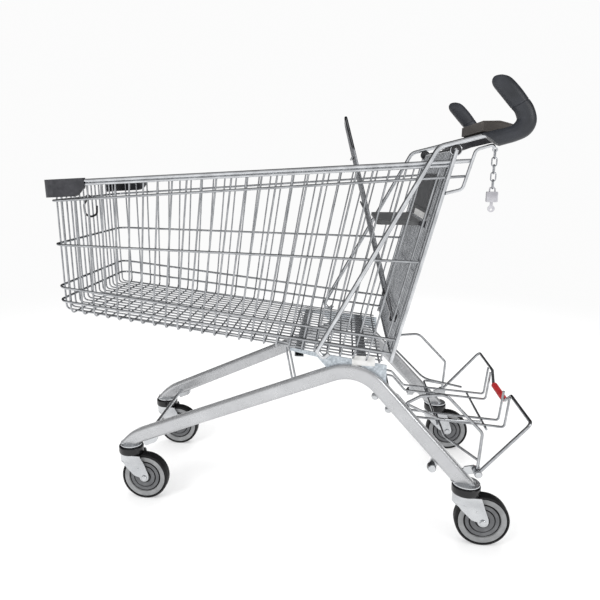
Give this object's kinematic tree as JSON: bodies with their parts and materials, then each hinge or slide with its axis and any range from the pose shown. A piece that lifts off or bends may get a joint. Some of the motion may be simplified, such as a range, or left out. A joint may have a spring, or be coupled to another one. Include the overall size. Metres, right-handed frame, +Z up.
{
  "type": "shopping trolley",
  "caption": "Wire basket trolley on swivel casters with bent side tubes, hinged rear gate, folding child seat, horn grips, coin lock chain and a folding crate rack.",
  "frame": {"origin": "on the floor under the middle of the overall length and width", "axes": "+X towards the push bar, +Y to the pusher's right, +Z up"},
  "size_m": [1.1638, 0.572, 1.0678],
  "materials": {
    "zinc_wire": "bright zinc and lacquer",
    "zinc_sheet": "galvanised",
    "tube": "satin",
    "fork_zinc": "bright zinc",
    "black_plastic": "moulded",
    "grip_plastic": "soft grain",
    "bar_plastic": "grained",
    "seat_plastic": "grained",
    "wheel_grey": "moulded",
    "tyre_black": "rubber",
    "lock_cast": "painted casting",
    "bolt_steel": "zinc",
    "clip_red": "moulded"
  },
  "bodies": {
    "trolley": {"swivel_stems": "bolt_steel", "chassis_tube_left": "tube", "chassis_tube_right": "tube", "chassis_end_caps": "zinc_sheet", "chassis_cross_members": "zinc_sheet", "support_plates": "zinc_sheet", "support_stays": "zinc_wire", "chassis_lugs": "zinc_sheet", "nesting_roller_brackets": "zinc_sheet", "basket_rim": "zinc_wire", "basket_rings": "zinc_wire", "basket_side_wires_left": "zinc_wire", "basket_side_wires_right": "zinc_wire", "basket_front_wires": "zinc_wire", "basket_floor_cross_wires": "zinc_wire", "basket_floor_long_wires": "zinc_wire", "rear_posts": "zinc_wire", "guard_loops": "zinc_wire", "handle_arms": "zinc_wire", "corner_bumper_left": "grip_plastic", "corner_bumper_right": "grip_plastic", "bag_hook": "black_plastic", "hinge_knobs": "black_plastic", "horn_grip_left": "grip_plastic", "horn_grip_right": "grip_plastic", "handle_crossbar": "bar_plastic", "handle_housing": "black_plastic", "rack_brackets": "zinc_sheet"},
    "caster_fl": {"caster_fl_fork": "fork_zinc", "caster_fl_race_cover": "black_plastic", "caster_fl_axle": "bolt_steel"},
    "wheel_fl": {"caster_fl_tyre": "tyre_black", "caster_fl_wheel": "wheel_grey"},
    "caster_fr": {"caster_fr_fork": "fork_zinc", "caster_fr_race_cover": "black_plastic", "caster_fr_axle": "bolt_steel"},
    "wheel_fr": {"caster_fr_tyre": "tyre_black", "caster_fr_wheel": "wheel_grey"},
    "caster_rl": {"caster_rl_fork": "fork_zinc", "caster_rl_race_cover": "black_plastic", "caster_rl_axle": "bolt_steel"},
    "wheel_rl": {"caster_rl_tyre": "tyre_black", "caster_rl_wheel": "wheel_grey"},
    "caster_rr": {"caster_rr_fork": "fork_zinc", "caster_rr_race_cover": "black_plastic", "caster_rr_axle": "bolt_steel"},
    "wheel_rr": {"caster_rr_tyre": "tyre_black", "caster_rr_wheel": "wheel_grey"},
    "roller_left": {"nesting_roller_left": "black_plastic"},
    "roller_right": {"nesting_roller_right": "black_plastic"},
    "gate": {"gate_frame": "zinc_wire", "gate_panel": "grip_plastic", "seat_clips": "black_plastic"},
    "seat_back": {"seat_back_frame": "zinc_wire"},
    "seat": {"seat_plate": "seat_plastic"},
    "crate_rack": {"rack_frame": "zinc_wire", "rack_rails": "zinc_wire", "rack_clip": "clip_red"},
    "chain": {"coin_chain": "bolt_steel"},
    "lock": {"coin_lock": "lock_cast"}
  },
  "joints": [
    {"name": "swivel_fl", "type": "hinge", "parent": "trolley", "child": "caster_fl", "pos_m": [-0.4033, -0.168, 0.137], "axis": [0, 0, 1], "continuous": true},
    {"name": "wheel_fl_spin", "type": "hinge", "parent": "caster_fl", "child": "wheel_fl", "pos_m": [-0.3643, -0.168, 0.0625], "axis": [0, 1, 0], "continuous": true},
    {"name": "swivel_fr", "type": "hinge", "parent": "trolley", "child": "caster_fr", "pos_m": [-0.4033, 0.168, 0.137], "axis": [0, 0, 1], "continuous": true},
    {"name": "wheel_fr_spin", "type": "hinge", "parent": "caster_fr", "child": "wheel_fr", "pos_m": [-0.3643, 0.168, 0.0625], "axis": [0, 1, 0], "continuous": true},
    {"name": "swivel_rl", "type": "hinge", "parent": "trolley", "child": "caster_rl", "pos_m": [0.4497, -0.253, 0.137], "axis": [0, 0, 1], "continuous": true},
    {"name": "wheel_rl_spin", "type": "hinge", "parent": "caster_rl", "child": "wheel_rl", "pos_m": [0.4887, -0.253, 0.0625], "axis": [0, 1, 0], "continuous": true},
    {"name": "swivel_rr", "type": "hinge", "parent": "trolley", "child": "caster_rr", "pos_m": [0.4497, 0.253, 0.137], "axis": [0, 0, 1], "continuous": true},
    {"name": "wheel_rr_spin", "type": "hinge", "parent": "caster_rr", "child": "wheel_rr", "pos_m": [0.4887, 0.253, 0.0625], "axis": [0, 1, 0], "continuous": true},
    {"name": "nesting_roller_left_spin", "type": "hinge", "parent": "trolley", "child": "roller_left", "pos_m": [0.3687, -0.2514, 0.184], "axis": [0, 1, 0], "continuous": true},
    {"name": "nesting_roller_right_spin", "type": "hinge", "parent": "trolley", "child": "roller_right", "pos_m": [0.3687, 0.2514, 0.184], "axis": [0, 1, 0], "continuous": true},
    {"name": "gate_swing", "type": "hinge", "parent": "trolley", "child": "gate", "pos_m": [0.3807, 0, 0.917], "axis": [0, 1, 0], "range_deg": [0, 75]},
    {"name": "seat_back_fold", "type": "hinge", "parent": "gate", "child": "seat_back", "pos_m": [0.2715, 0, 0.52], "axis": [0, 1, 0], "range_deg": [0, 20]},
    {"name": "seat_plate_fold", "type": "hinge", "parent": "gate", "child": "seat", "pos_m": [0.3277, 0, 0.751], "axis": [0, 1, 0], "range_deg": [0, 90]},
    {"name": "crate_rack_fold", "type": "hinge", "parent": "trolley", "child": "crate_rack", "pos_m": [0.4697, 0, 0.185], "axis": [0, 1, 0], "range_deg": [0, 40]},
    {"name": "chain_swing", "type": "hinge", "parent": "trolley", "child": "chain", "pos_m": [0.4582, -0.2645, 0.917], "axis": [0, 1, 0], "range_deg": [-25, 15]},
    {"name": "lock_swing", "type": "hinge", "parent": "chain", "child": "lock", "pos_m": [0.4582, -0.2645, 0.8357], "axis": [0, 1, 0], "range_deg": [-25, 25]}
  ],
  "couplings": [
    {"joint": "seat_plate_fold", "follows": "seat_back_fold", "ratio": 4.5}
  ]
}
